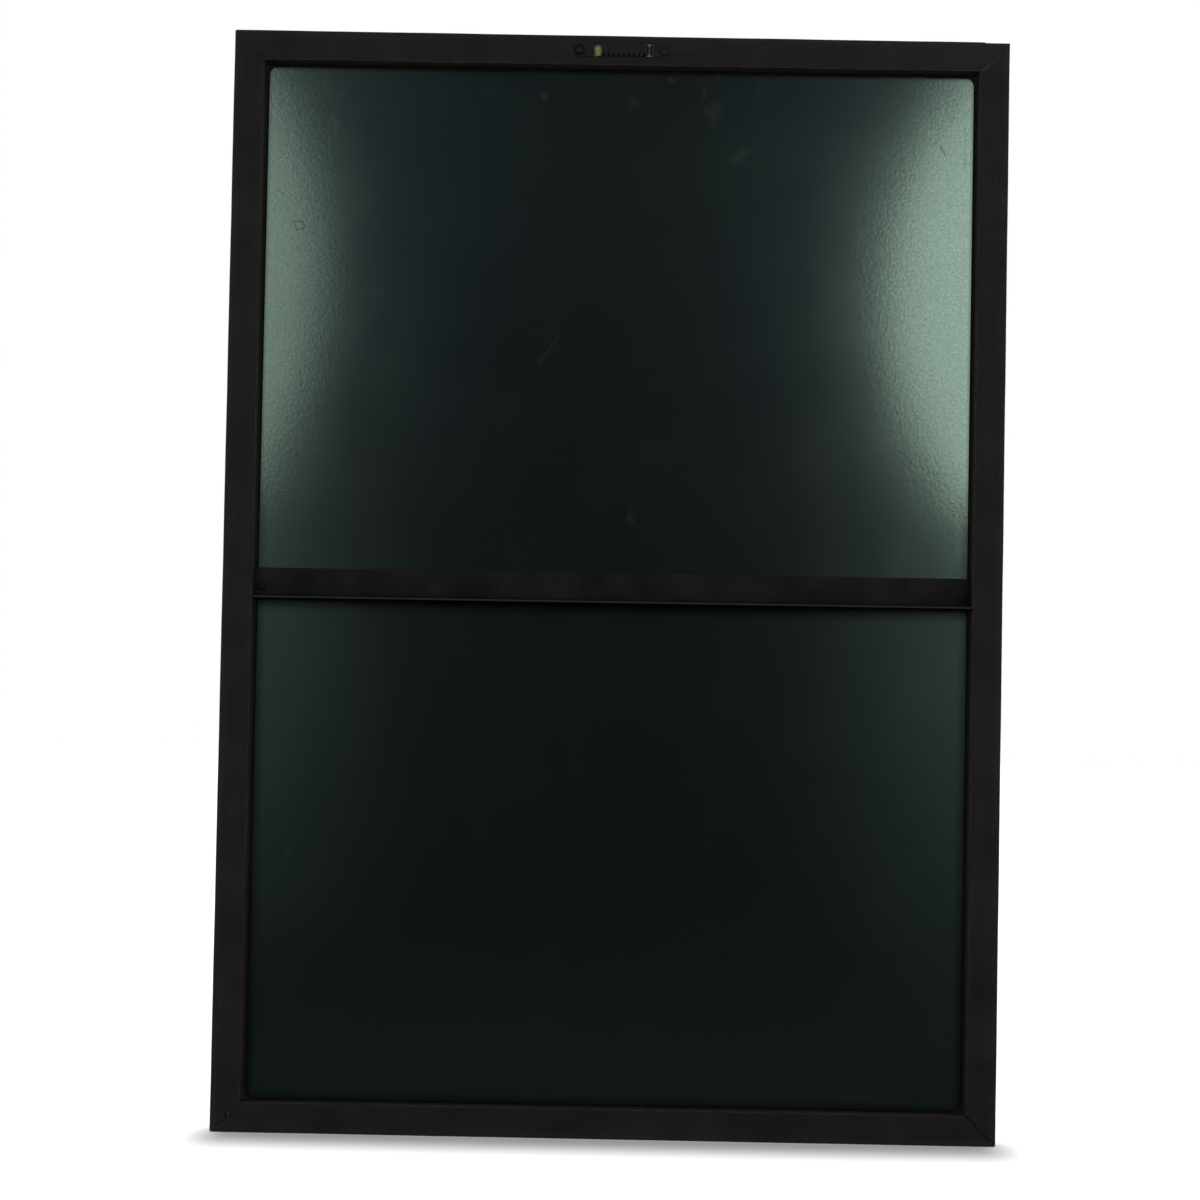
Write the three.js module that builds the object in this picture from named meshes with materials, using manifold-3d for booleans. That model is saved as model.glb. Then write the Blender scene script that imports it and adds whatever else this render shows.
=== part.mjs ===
// A framed chalkboard with a portrait panel, in millimetres, +Z up.
// The back, with the hanger and the cross brace, faces -Y and the writing side faces +Y.
// The origin is at the middle of the bottom edge, half way through the overall depth.
// Left and right are as seen from the back, so left is -X.
import * as THREE from "three";
import { mergeVertices, toCreasedNormals } from "three/addons/utils/BufferGeometryUtils.js";
import Module from "manifold-3d";

const wasm = await Module();
wasm.setup();

// Board
const boardWidth = 500;
const boardHeight = 707;

// Clearance between a piece and what it lies on, stands in or passes through
const seatGap = 0.3;

// Frame moulding
const railWidth = 19.4;
const lipOverlap = 9;
const lipThickness = 7;
const recessDepth = 13.6;
const edgeRound = 0.7;
const frontRound = 2.5;
const sightBevel = 2;

// Chalk panel
const panelThickness = 3;
const panelSideGap = 2.4;
const panelEndGap = 1.3;
const panelCorner = 6.5;

// Foam mounting tape between the panel and the frame's lip
const tapeThickness = 0.8;
const tapeWidth = 5;
const tapeInset = 0.8;
const tapeEndSpace = 4;

// Cross brace, an angle bent from sheet
const braceHeight = 19.8;
const braceBelowMiddle = 2.5;
const braceThickness = 1.2;
const braceBend = 1.4;

// Brace screws
const screwInset = 4.7;
const screwRise = 7.5;
const screwHeadRadius = 2.9;
const screwHeadHeight = 1.9;
const screwRadius = 1.25;
const screwBite = 5;
const screwPoint = 2;
const recessReach = 1.6;
const recessWidth = 0.8;
const recessSink = 1;

// Sawtooth hanger
const hangerLength = 61.5;
const hangerHeight = 8;
const hangerThickness = 0.8;
const hangerFromTop = 5.9;
const hangerTab = 12.6;
const hangerSlope = 3.9;
const hangerRise = 2.4;
const hangerBend = 1;
const hangerCorner = 3;
const hangerPressOffset = 1.2;
const toothPitch = 3.25;
const toothDepth = 2.5;
const toothTip = 0.9;
const toothRoot = 0.5;

// Hanger nails
const nailInset = 3.5;
const nailHeadRadius = 2.6;
const nailHeadHeight = 1;
const nailRadius = 0.8;
const nailBite = 11;
const nailPoint = 2;

// V-shaped corner nails
const cornerNailLeg = 5;
const cornerNailAngle = 35;
const cornerNailThickness = 0.5;
const cornerNailHeight = 12;
const cornerNailSink = 0.3;

// Facets in a full turn, and in each rounded edge or bend
const turnSteps = 24;
const edgeSteps = 6;

// Depths through the board, from the back of the frame to the writing side
const frameDepth = recessDepth + panelThickness + tapeThickness + lipThickness + 2 * seatGap;
const hangerStandOff = seatGap + hangerThickness + hangerRise;
const backY = (hangerStandOff - frameDepth) / 2;
const panelBackY = backY + recessDepth;
const panelFrontY = panelBackY + panelThickness;
const tapeBackY = panelFrontY + seatGap;
const tapeFrontY = tapeBackY + tapeThickness;
const lipBackY = tapeFrontY + seatGap;
const frontY = lipBackY + lipThickness;
const braceBackY = panelBackY - seatGap - braceThickness;
const hangerBackY = backY - seatGap - hangerThickness;

// Openings and places across the board
const middleZ = boardHeight / 2;
const openingWidth = boardWidth - 2 * railWidth;
const openingHeight = boardHeight - 2 * railWidth;
const panelWidth = openingWidth - 2 * panelSideGap;
const panelHeight = openingHeight - 2 * panelEndGap;
const braceLength = openingWidth - 2 * seatGap;
const braceBottomZ = middleZ - braceBelowMiddle - braceHeight / 2;
const screwX = braceLength / 2 - screwInset;
const screwZ = braceBottomZ + screwRise;
const hangerZ = boardHeight - hangerFromTop - hangerHeight / 2;
const nailX = hangerLength / 2 - nailInset;
const cornerNailInset = railWidth / 2;

// Materials
function finish(color, roughness, metalness) {
  return new THREE.MeshStandardMaterial({ color, roughness, metalness });
}

const blackPaint = () => finish(0x1e1e1c, 0.5, 0);
const chalkGreen = () => finish(0x1a2926, 0.55, 0);
const blackMetal = () => finish(0x171717, 0.45, 0.2);
const brassPlate = () => finish(0xb39a56, 0.3, 1);
const steel = () => finish(0x8d8f92, 0.4, 1);
const foam = () => finish(0xd9d7cf, 0.9, 0);

// Solids for joining and cutting
function toSolid(geometry) {
  const plain = geometry.clone();
  plain.deleteAttribute("normal");
  plain.deleteAttribute("uv");
  const merged = mergeVertices(plain);
  return new wasm.Manifold(new wasm.Mesh({
    numProp: 3,
    vertProperties: new Float32Array(merged.attributes.position.array),
    triVerts: new Uint32Array(merged.index.array),
  }));
}

function toGeometry(solid) {
  const mesh = solid.getMesh();
  const geometry = new THREE.BufferGeometry();
  geometry.setAttribute("position", new THREE.BufferAttribute(mesh.vertProperties, 3));
  geometry.setIndex(new THREE.BufferAttribute(mesh.triVerts, 1));
  return toCreasedNormals(geometry, Math.PI / 5);
}

function cut(geometry, tools) {
  const solid = tools.reduce((rest, tool) => rest.subtract(toSolid(tool)), toSolid(geometry));
  return toGeometry(solid);
}

// A flat outline drawn in X and Z, thick from one depth to another
function plate(shape, fromY, toY) {
  const depth = toY - fromY;
  const geometry = new THREE.ExtrudeGeometry(shape, { depth, bevelEnabled: false, curveSegments: edgeSteps });
  return geometry.rotateX(Math.PI / 2).translate(0, toY, 0);
}

// A round bar or hole along Y at a place across the board
function drill(x, z, radius, fromY, toY) {
  const geometry = new THREE.CylinderGeometry(radius, radius, toY - fromY, turnSteps);
  return geometry.translate(x, (fromY + toY) / 2, z);
}

// A turned piece along Y: each profile point is a radius and a depth, the head's crown first
function turned(profile) {
  const points = profile.map(([radius, y]) => new THREE.Vector2(radius, y));
  return new THREE.LatheGeometry(points, turnSteps);
}

function roundedRectangle(width, height, radius) {
  const x = width / 2 - radius;
  const z = height / 2 - radius;
  const shape = new THREE.Shape();
  shape.absarc(x, -z, radius, -Math.PI / 2, 0);
  shape.absarc(x, z, radius, 0, Math.PI / 2);
  shape.absarc(-x, z, radius, Math.PI / 2, Math.PI);
  shape.absarc(-x, -z, radius, Math.PI, 1.5 * Math.PI);
  return shape;
}

function circle(x, z, radius) {
  const path = new THREE.Path();
  path.absarc(x, z, radius, 0, 2 * Math.PI, true);
  return path;
}

// The outline of a strip of sheet bent along a line, with every bend rounded
function bentStrip(corners, thickness, bendRadius) {
  const left = [];
  const right = [];
  const half = thickness / 2;
  const add = (point, normal) => {
    left.push(point.clone().addScaledVector(normal, half));
    right.push(point.clone().addScaledVector(normal, -half));
  };
  const direction = (i) => corners[i + 1].clone().sub(corners[i]).normalize();
  const leftOf = (way) => new THREE.Vector2(-way.y, way.x);
  const last = corners.length - 1;
  add(corners[0], leftOf(direction(0)));
  for (let i = 1; i < last; i += 1) {
    const before = direction(i - 1);
    const turn = Math.atan2(before.cross(direction(i)), before.dot(direction(i)));
    const side = Math.sign(turn);
    const setBack = bendRadius * Math.tan(Math.abs(turn) / 2);
    const normal = leftOf(before);
    const start = corners[i].clone().addScaledVector(before, -setBack);
    const centre = start.addScaledVector(normal, side * bendRadius);
    for (let step = 0; step <= edgeSteps; step += 1) {
      const turned = normal.clone().rotateAround(new THREE.Vector2(), turn * step / edgeSteps);
      add(centre.clone().addScaledVector(turned, -side * bendRadius), turned);
    }
  }
  add(corners[last], leftOf(direction(last - 1)));
  return new THREE.Shape([...right, ...left.reverse()]);
}

// Frame moulding: across it is the distance from the outer edge, up it is the depth
function mouldingProfile() {
  const sight = railWidth + lipOverlap;
  const shape = new THREE.Shape();
  shape.moveTo(edgeRound, backY);
  shape.lineTo(railWidth - edgeRound, backY);
  shape.absarc(railWidth - edgeRound, backY + edgeRound, edgeRound, -Math.PI / 2, 0);
  shape.lineTo(railWidth, lipBackY);
  shape.lineTo(sight, lipBackY);
  shape.lineTo(sight, frontY - sightBevel);
  shape.lineTo(sight - sightBevel, frontY);
  shape.lineTo(frontRound, frontY);
  shape.absarc(frontRound, frontY - frontRound, frontRound, Math.PI / 2, Math.PI);
  shape.lineTo(0, backY + edgeRound);
  shape.absarc(edgeRound, backY + edgeRound, edgeRound, Math.PI, 1.5 * Math.PI);
  return shape;
}

// A length of moulding along X with its outer edge at z = 0 and both ends cut at 45 degrees
function mitredMoulding(length) {
  const options = { depth: 1, bevelEnabled: false, curveSegments: edgeSteps };
  const geometry = new THREE.ExtrudeGeometry(mouldingProfile(), options);
  const position = geometry.attributes.position;
  const setBack = seatGap / Math.SQRT2;
  for (let i = 0; i < position.count; i += 1) {
    const across = position.getX(i);
    const end = position.getZ(i) > 0.5 ? -1 : 1;
    position.setXYZ(i, end * (length / 2 - across - setBack), position.getY(i), across);
  }
  return geometry;
}

// The V of a corner nail seen from the back, its point down, grown by a clearance
function cornerNailShape(grow) {
  const angle = THREE.MathUtils.degToRad(cornerNailAngle);
  const half = cornerNailThickness / 2 + grow;
  const reach = cornerNailLeg + grow;
  const tip = half / Math.sin(angle);
  const endX = reach * Math.sin(angle);
  const endZ = reach * Math.cos(angle);
  const offX = half * Math.cos(angle);
  const offZ = half * Math.sin(angle);
  return new THREE.Shape([
    new THREE.Vector2(0, -tip),
    new THREE.Vector2(endX + offX, endZ - offZ),
    new THREE.Vector2(endX - offX, endZ + offZ),
    new THREE.Vector2(0, tip),
    new THREE.Vector2(-endX + offX, endZ + offZ),
    new THREE.Vector2(-endX - offX, endZ - offZ),
  ]);
}

function cornerNailGeometry() {
  const top = backY + cornerNailSink;
  return plate(cornerNailShape(0), top, top + cornerNailHeight);
}

function cornerNailSlot(x, z, turn) {
  const deepest = backY + cornerNailSink + cornerNailHeight + seatGap;
  const slot = plate(cornerNailShape(seatGap), backY - 1, deepest);
  return slot.rotateY(turn).translate(x, 0, z);
}

// One side of the frame, with the slots of its two corner nails and its own pilot holes
function frameSide(length, pilotHoles) {
  const x = length / 2 - cornerNailInset;
  const slots = [-1, 1].map((end) => cornerNailSlot(end * x, cornerNailInset, -end * Math.PI / 4));
  return cut(mitredMoulding(length), [...slots, ...pilotHoles]);
}

function nailPilot(x) {
  const z = boardHeight - hangerZ;
  return drill(x, z, nailRadius + seatGap, backY - 1, backY + nailBite + seatGap);
}

function screwPilot(alongStile) {
  const z = boardWidth / 2 - screwX;
  return drill(alongStile, z, screwRadius + seatGap, panelFrontY, lipBackY + screwBite + seatGap);
}

function chalkPanel() {
  const shape = roundedRectangle(panelWidth, panelHeight, panelCorner);
  for (const side of [-1, 1]) {
    shape.holes.push(circle(side * screwX, screwZ - middleZ, screwRadius + seatGap));
  }
  return plate(shape, panelBackY, panelFrontY);
}

function tapeStrip(width, height) {
  return new THREE.BoxGeometry(width, tapeThickness, height);
}

function crossBrace() {
  const legY = panelBackY - seatGap - braceThickness / 2;
  const shelfZ = braceBottomZ + braceThickness / 2;
  const corners = [
    new THREE.Vector2(legY, braceBottomZ + braceHeight),
    new THREE.Vector2(legY, shelfZ),
    new THREE.Vector2(backY, shelfZ),
  ];
  const profile = bentStrip(corners, braceThickness, braceBend);
  const bar = new THREE.ExtrudeGeometry(profile, { depth: braceLength, bevelEnabled: false });
  bar.translate(0, 0, -braceLength / 2);
  const alongX = new THREE.Matrix4().makeBasis(
    new THREE.Vector3(0, 1, 0),
    new THREE.Vector3(0, 0, 1),
    new THREE.Vector3(1, 0, 0),
  );
  bar.applyMatrix4(alongX);
  const radius = screwRadius + seatGap;
  const holes = [-1, 1].map((side) => drill(side * screwX, screwZ, radius, braceBackY - 1, panelBackY));
  return cut(bar, holes);
}

// A pan head with a cross recess on a plain shank with a point
function braceScrew() {
  const seatY = braceBackY - seatGap;
  const crownY = seatY - screwHeadHeight;
  const tipY = lipBackY + screwBite;
  const body = turned([
    [0, crownY],
    [screwHeadRadius * 0.55, crownY + screwHeadHeight * 0.08],
    [screwHeadRadius * 0.88, crownY + screwHeadHeight * 0.35],
    [screwHeadRadius, crownY + screwHeadHeight * 0.75],
    [screwHeadRadius, seatY],
    [screwRadius, seatY],
    [screwRadius, tipY - screwPoint],
    [0, tipY],
  ]);
  const floorY = crownY + recessSink;
  const bars = [0, Math.PI / 2].map((turn) => {
    const bar = new THREE.BoxGeometry(2 * recessReach, recessSink + 1, recessWidth);
    return bar.rotateY(turn + Math.PI / 4).translate(0, floorY - (recessSink + 1) / 2, 0);
  });
  return cut(body, bars);
}

function hangerNail() {
  const seatY = hangerBackY - seatGap;
  const crownY = seatY - nailHeadHeight;
  const tipY = backY + nailBite;
  return turned([
    [0, crownY],
    [nailHeadRadius * 0.6, crownY + nailHeadHeight * 0.2],
    [nailHeadRadius * 0.92, crownY + nailHeadHeight * 0.6],
    [nailHeadRadius, seatY],
    [nailRadius, seatY],
    [nailRadius, tipY - nailPoint],
    [0, tipY],
  ]);
}

// The hanger seen from the back: round-cornered tabs, nail holes and a toothed lower edge
function hangerFace() {
  const halfLength = hangerLength / 2;
  const halfHeight = hangerHeight / 2;
  const x = halfLength - hangerCorner;
  const z = halfHeight - hangerCorner;
  const flat = hangerLength - 2 * (hangerTab + hangerSlope);
  const gaps = Math.max(1, Math.floor((flat + toothTip) / toothPitch));
  const rootZ = -halfHeight + toothDepth;
  const gapHalf = (toothPitch - toothTip) / 2;
  const shape = new THREE.Shape();
  shape.absarc(-x, -z, hangerCorner, Math.PI, 1.5 * Math.PI);
  for (let i = 0; i < gaps; i += 1) {
    const centre = hangerPressOffset + (i - (gaps - 1) / 2) * toothPitch;
    shape.lineTo(centre - gapHalf, -halfHeight);
    shape.lineTo(centre - toothRoot / 2, rootZ);
    shape.lineTo(centre + toothRoot / 2, rootZ);
    shape.lineTo(centre + gapHalf, -halfHeight);
  }
  shape.absarc(x, -z, hangerCorner, -Math.PI / 2, 0);
  shape.absarc(x, z, hangerCorner, 0, Math.PI / 2);
  shape.absarc(-x, z, hangerCorner, Math.PI / 2, Math.PI);
  shape.holes.push(circle(-nailX, 0, nailRadius + seatGap), circle(nailX, 0, nailRadius + seatGap));
  return shape;
}

// The strip bent away from the rail between its tabs, kept only inside its face outline. The
// pressed part sits a little to the right of the strip's middle.
function sawtoothHanger() {
  const tabY = backY - seatGap - hangerThickness / 2;
  const raisedY = tabY - hangerRise;
  const end = hangerLength / 2;
  const foot = end - hangerTab;
  const shoulder = foot - hangerSlope;
  const corners = [
    new THREE.Vector2(-end, tabY),
    new THREE.Vector2(hangerPressOffset - foot, tabY),
    new THREE.Vector2(hangerPressOffset - shoulder, raisedY),
    new THREE.Vector2(hangerPressOffset + shoulder, raisedY),
    new THREE.Vector2(hangerPressOffset + foot, tabY),
    new THREE.Vector2(end, tabY),
  ];
  const plan = bentStrip(corners, hangerThickness, hangerBend);
  const strip = new THREE.ExtrudeGeometry(plan, { depth: hangerHeight, bevelEnabled: false });
  strip.translate(0, 0, -hangerHeight / 2);
  const face = plate(hangerFace(), raisedY - hangerThickness, backY);
  return toGeometry(toSolid(strip).intersect(toSolid(face)));
}

// The board
const board = new THREE.Group();

function place(name, geometry, material, x = 0, y = 0, z = 0, turn = 0) {
  const mesh = new THREE.Mesh(geometry, material);
  mesh.name = name;
  mesh.position.set(x, y, z);
  mesh.rotation.y = turn;
  board.add(mesh);
}

// Frame: each side is made lying along X and turned about Y to its place
const stileScrew = screwZ - middleZ;
const nailPilots = [nailPilot(-nailX), nailPilot(nailX)];
const bottomRail = frameSide(boardWidth, []);
const topRail = frameSide(boardWidth, nailPilots);
const leftStile = frameSide(boardHeight, [screwPilot(-stileScrew)]);
const rightStile = frameSide(boardHeight, [screwPilot(stileScrew)]);
place("bottom_rail", bottomRail, blackPaint());
place("top_rail", topRail, blackPaint(), 0, 0, boardHeight, Math.PI);
place("left_stile", leftStile, blackPaint(), -boardWidth / 2, 0, middleZ, Math.PI / 2);
place("right_stile", rightStile, blackPaint(), boardWidth / 2, 0, middleZ, -Math.PI / 2);

// Corner nails: one across the middle of each mitre, its point towards the outer corner
for (const [level, up] of [["bottom", 1], ["top", -1]]) {
  for (const [side, out] of [["left", -1], ["right", 1]]) {
    const x = out * (boardWidth / 2 - cornerNailInset);
    const z = up > 0 ? cornerNailInset : boardHeight - cornerNailInset;
    const turn = Math.atan2(-out, up);
    place(`corner_nail_${level}_${side}`, cornerNailGeometry(), steel(), x, 0, z, turn);
  }
}

// Panel and the tape that holds it
place("chalk_panel", chalkPanel(), chalkGreen(), 0, 0, middleZ);

const tapeY = (tapeBackY + tapeFrontY) / 2;
const tapeLineX = panelWidth / 2 - tapeInset - tapeWidth / 2;
const tapeLineZ = panelHeight / 2 - tapeInset - tapeWidth / 2;
const levelTapeLength = panelWidth - 2 * panelCorner;
const tapeTopZ = middleZ + tapeLineZ - tapeWidth / 2 - tapeEndSpace;
const tapeBottomZ = middleZ - tapeLineZ + tapeWidth / 2 + tapeEndSpace;
const uprightTapes = [
  ["upper", screwZ + screwRadius + tapeEndSpace, tapeTopZ],
  ["lower", tapeBottomZ, screwZ - screwRadius - tapeEndSpace],
];
place("tape_top", tapeStrip(levelTapeLength, tapeWidth), foam(), 0, tapeY, middleZ + tapeLineZ);
place("tape_bottom", tapeStrip(levelTapeLength, tapeWidth), foam(), 0, tapeY, middleZ - tapeLineZ);
for (const [side, out] of [["left", -1], ["right", 1]]) {
  for (const [level, fromZ, toZ] of uprightTapes) {
    const strip = tapeStrip(tapeWidth, toZ - fromZ);
    place(`tape_${side}_${level}`, strip, foam(), out * tapeLineX, tapeY, (fromZ + toZ) / 2);
  }
}

// Brace and hanger with their fasteners
place("cross_brace", crossBrace(), blackMetal());
place("sawtooth_hanger", sawtoothHanger(), brassPlate(), 0, 0, hangerZ);
for (const [side, out] of [["left", -1], ["right", 1]]) {
  place(`brace_screw_${side}`, braceScrew(), blackMetal(), out * screwX, 0, screwZ);
  place(`hanger_nail_${side}`, hangerNail(), brassPlate(), out * nailX, 0, hangerZ);
}

export default board;
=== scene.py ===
# The looks of a framed chalkboard, seen from the side that hangs against the wall.
# Metres, Z up. The back of the board faces -Y and its writing side +Y.
import math

import bmesh
import bpy
import numpy as np
from bpy.props import FloatProperty, FloatVectorProperty, PointerProperty
from bpy.types import NodeSocket, Operator, Panel, PropertyGroup
from mathutils import Matrix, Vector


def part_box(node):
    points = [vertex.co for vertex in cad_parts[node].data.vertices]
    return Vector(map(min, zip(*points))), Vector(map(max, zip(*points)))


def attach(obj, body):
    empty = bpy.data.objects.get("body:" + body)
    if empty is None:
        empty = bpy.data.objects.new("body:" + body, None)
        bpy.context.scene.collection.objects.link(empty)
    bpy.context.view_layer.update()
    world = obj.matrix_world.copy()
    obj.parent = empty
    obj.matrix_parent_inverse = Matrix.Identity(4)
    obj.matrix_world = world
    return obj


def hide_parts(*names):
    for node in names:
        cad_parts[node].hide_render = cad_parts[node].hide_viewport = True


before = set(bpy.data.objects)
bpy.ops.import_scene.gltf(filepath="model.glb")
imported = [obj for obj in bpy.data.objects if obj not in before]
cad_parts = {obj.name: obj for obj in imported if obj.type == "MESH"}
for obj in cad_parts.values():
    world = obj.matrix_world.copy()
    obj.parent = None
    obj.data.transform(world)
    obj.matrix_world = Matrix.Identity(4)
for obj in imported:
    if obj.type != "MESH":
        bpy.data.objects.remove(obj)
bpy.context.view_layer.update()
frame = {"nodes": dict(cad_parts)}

bl_info = {
    "name": "Framed Chalkboard",
    "version": (1, 0, 0),
    "blender": (4, 5, 0),
    "location": "3D View > Sidebar > Chalkboard",
    "description": "Dresses the packed chalkboard: frame, panel, brace, hanger, fasteners and stage",
    "category": "Object",
}

MM = 0.001
SEAT = 0.3 * MM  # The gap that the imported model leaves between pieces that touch
BLACK, WHITE = (0, 0, 0), (1, 1, 1)

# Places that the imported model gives
RAIL_LOW, RAIL_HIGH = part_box("bottom_rail")
PANEL_LOW, PANEL_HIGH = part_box("chalk_panel")
BRACE_LOW, BRACE_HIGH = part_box("cross_brace")
HANGER_LOW, HANGER_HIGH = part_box("sawtooth_hanger")
BACK_Y = RAIL_LOW.y
FRONT_Y = RAIL_HIGH.y
BOARD_WIDTH = RAIL_HIGH.x - RAIL_LOW.x
BOARD_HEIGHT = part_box("top_rail")[1].z
SIGHT_WIDTH = RAIL_HIGH.z
LIP_BACK_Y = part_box("tape_top")[1].y + SEAT
RAIL_WIDTH = BOARD_WIDTH / 2 - BRACE_HIGH.x - SEAT


def linear(hex_colour):
    """Turns an sRGB hex colour, such as "#1d1c1a", into linear red, green and blue."""
    values = [int(hex_colour[i:i + 2], 16) / 255 for i in (1, 3, 5)]
    return tuple(v / 12.92 if v <= 0.04045 else ((v + 0.055) / 1.055) ** 2.4 for v in values)


def length(name, description, default):
    """A length property in metres."""
    return FloatProperty(
        name=name, description=description, default=default, unit="LENGTH", subtype="DISTANCE", precision=4
    )


def colour(name, description, default):
    """A colour property whose default is written as sRGB hex."""
    return FloatVectorProperty(
        name=name, description=description, default=linear(default), subtype="COLOR", min=0, max=1
    )


class FrameSettings(PropertyGroup):
    rail_width: length("Rail width", "Width of the moulding's back face", RAIL_WIDTH)
    outer_arris: length("Outer rounding", "Radius of the outer edge on the wall side", 1.3 * MM)
    arris: length("Inner rounding", "Radius of the inner edge on the wall side", 0.7 * MM)
    front_round: length("Front rounding", "Radius of the outer edge on the writing side", 2.5 * MM)
    sight_bevel: length("Sight bevel", "Width of the bevel beside the writing surface", 2 * MM)
    paint: colour("Paint", "Black paint on the wood", "#151513")
    # The paler paint is also painted on as light: on the walls round the panel, near the outer edge and at
    # the right of the top rail
    thin_paint_and_light: colour("Thin paint", "Where the paint has thinned over an edge", "#3a3833")


class PanelSettings(PropertyGroup):
    corner: length("Corner radius", "Radius of the panel's corners", 6.5 * MM)
    back_paint: colour("Back enamel", "Green enamel on the wall side", "#0b1011")
    front_paint: colour("Writing surface", "Matt green of the writing side", "#1d2c28")
    dust: colour("Dust", "Chalk dust and finger marks", "#8f9c98")


class BraceSettings(PropertyGroup):
    thickness: length("Sheet thickness", "Thickness of the angle's steel", 1.2 * MM)
    tilt: FloatProperty(name="Tilt", description="Rise of the brace towards its right end", default=0.0018)
    paint: colour("Paint", "Black enamel on the steel", "#0d0d0c")
    # The worn paint is also the colour of the painted highlight on the rim nearest the wall
    worn_and_lit_paint: colour("Worn paint", "Enamel on worn edges", "#42413e")


class HangerSettings(PropertyGroup):
    thickness: length("Sheet thickness", "Thickness of the hanger's strip", 0.8 * MM)
    press_offset: length("Press offset", "How far right of the middle the raised part is", 1.2 * MM)
    lacquer: colour("Lacquer", "Black lacquer over the plating", "#131312")
    brass: colour("Brass plate", "Plating where the lacquer has worn", "#8d8460")
    steel: colour("Steel", "Steel where the plating has worn too", "#8a8a86")


class StageSettings(PropertyGroup):
    floor: colour("Floor", "White floor", "#f2f2f2")
    fill: FloatProperty(name="Fill light", description="Strength of the light from all round", default=0.6)


class ChalkboardSettings(PropertyGroup):
    frame: PointerProperty(type=FrameSettings)
    panel: PointerProperty(type=PanelSettings)
    brace: PointerProperty(type=BraceSettings)
    hanger: PointerProperty(type=HangerSettings)
    stage: PointerProperty(type=StageSettings)


# Node helpers

SMOOTH = {"interpolation_type": "SMOOTHSTEP"}
# A mix of colours: its setting and output, and the places of its inputs
COLOURS = {"data_type": "RGBA", "out": 2}
FACTOR, FIRST, SECOND = 0, 6, 7


def add(tree, kind, inputs=(), out=0, **settings):
    """Adds one node with its settings, and writes a value or links a socket into each of its inputs.

    A dot comes between the node's kind and its operation. The inputs are a list in the node's order,
    or a dictionary by name or place. The result is one output, or all of them where out is None."""
    kind, *operation = kind.split(".")
    made = tree.nodes.new("ShaderNode" + kind)
    for mode in operation:
        made.operation = mode
    for name, value in settings.items():
        setattr(made, name, value)
    for name, value in inputs.items() if isinstance(inputs, dict) else enumerate(inputs):
        if isinstance(value, NodeSocket):
            tree.links.new(value, made.inputs[name])
        else:
            made.inputs[name].default_value = value
    return made.outputs if out is None else made.outputs[out]


def rgba(value):
    return (*value, 1)


def new_material(name):
    """A material, its node tree, and the tree's only node yet: the place on the object, in metres."""
    material = bpy.data.materials.new(name)
    material.use_nodes = True
    tree = material.node_tree
    tree.nodes.clear()
    return material, tree, add(tree, "TexCoord", out="Object")


def stroke(tree, place, start, end, half_width):
    """One on a straight stroke between two points of the board's face, in millimetres, nought beside it.

    With p the place and b the stroke, t = (p - start) . b / b . b kept between 0 and 1, and the
    distance from the stroke is |p - start - t b| across the face."""
    (x0, z0), (x1, z1) = start, end
    run = (x1 - x0, 0, z1 - z0)
    reach = tuple(v / (run[0] ** 2 + run[2] ** 2) for v in run)
    offset = add(tree, "VectorMath.MULTIPLY_ADD", [place, (1 / MM, 0, 1 / MM), (-x0, 0, -z0)])
    share = add(tree, "VectorMath.DOT_PRODUCT", [offset, reach], out="Value")
    share = add(tree, "Clamp", [share])
    nearest = add(tree, "VectorMath.SCALE", {0: run, "Scale": share})
    away = add(tree, "VectorMath.DISTANCE", [offset, nearest], out="Value")
    return add(tree, "MapRange", [away, 0.3 * half_width, half_width, 1, 0])


def strokes(tree, place, table):
    """The strongest of several strokes, each given as start, end, half-width and strength."""
    strongest = 0
    for start, end, half_width, strength in table:
        mark = stroke(tree, place, start, end, half_width)
        mark = add(tree, "Math.MULTIPLY", [mark, strength])
        strongest = add(tree, "Math.MAXIMUM", [strongest, mark])
    return strongest


# Materials

# Marks in the frame's paint, in millimetres from the middle of the bottom edge, each with its start,
# end, half-width and strength: painted shade where the paint sinks over the two legs of the corner
# nail and beside them
SUNKEN_MARK_SHADE = (
    ((-239.5, 12.3), (-239.7, 8.5), 0.55, 0.75),
    ((-235.9, 12.4), (-237.0, 9.2), 0.55, 0.6),
    ((-235.2, 15.9), (-232.6, 16.1), 0.8, 0.35),
    ((-241.6, 8.0), (-245.6, 3.9), 0.8, 0.45),
)
# Pale marks: paint caught beside the nail and chips at the edge, and a painted highlight where light
# catches the raised filler along the top right mitre
PALE_MARKS_AND_HIGHLIGHTS = (
    ((-237.9, 12.2), (-237.7, 11.5), 0.6, 0.9),
    ((-244.6, 4.6), (-240.2, 4.3), 0.7, 0.3),
    ((-234.0, 0.8), (-232.8, 0.8), 0.5, 0.9),
    ((232.2, 688.5), (236.2, 691.7), 0.9, 0.5),
    ((236.2, 691.7), (244.2, 699.3), 0.7, 0.32),
    ((246.6, 686), (246.8, 700), 0.5, 0.25),
    ((214.0, 688.4), (222.5, 688.5), 0.7, 0.25),
)


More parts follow.
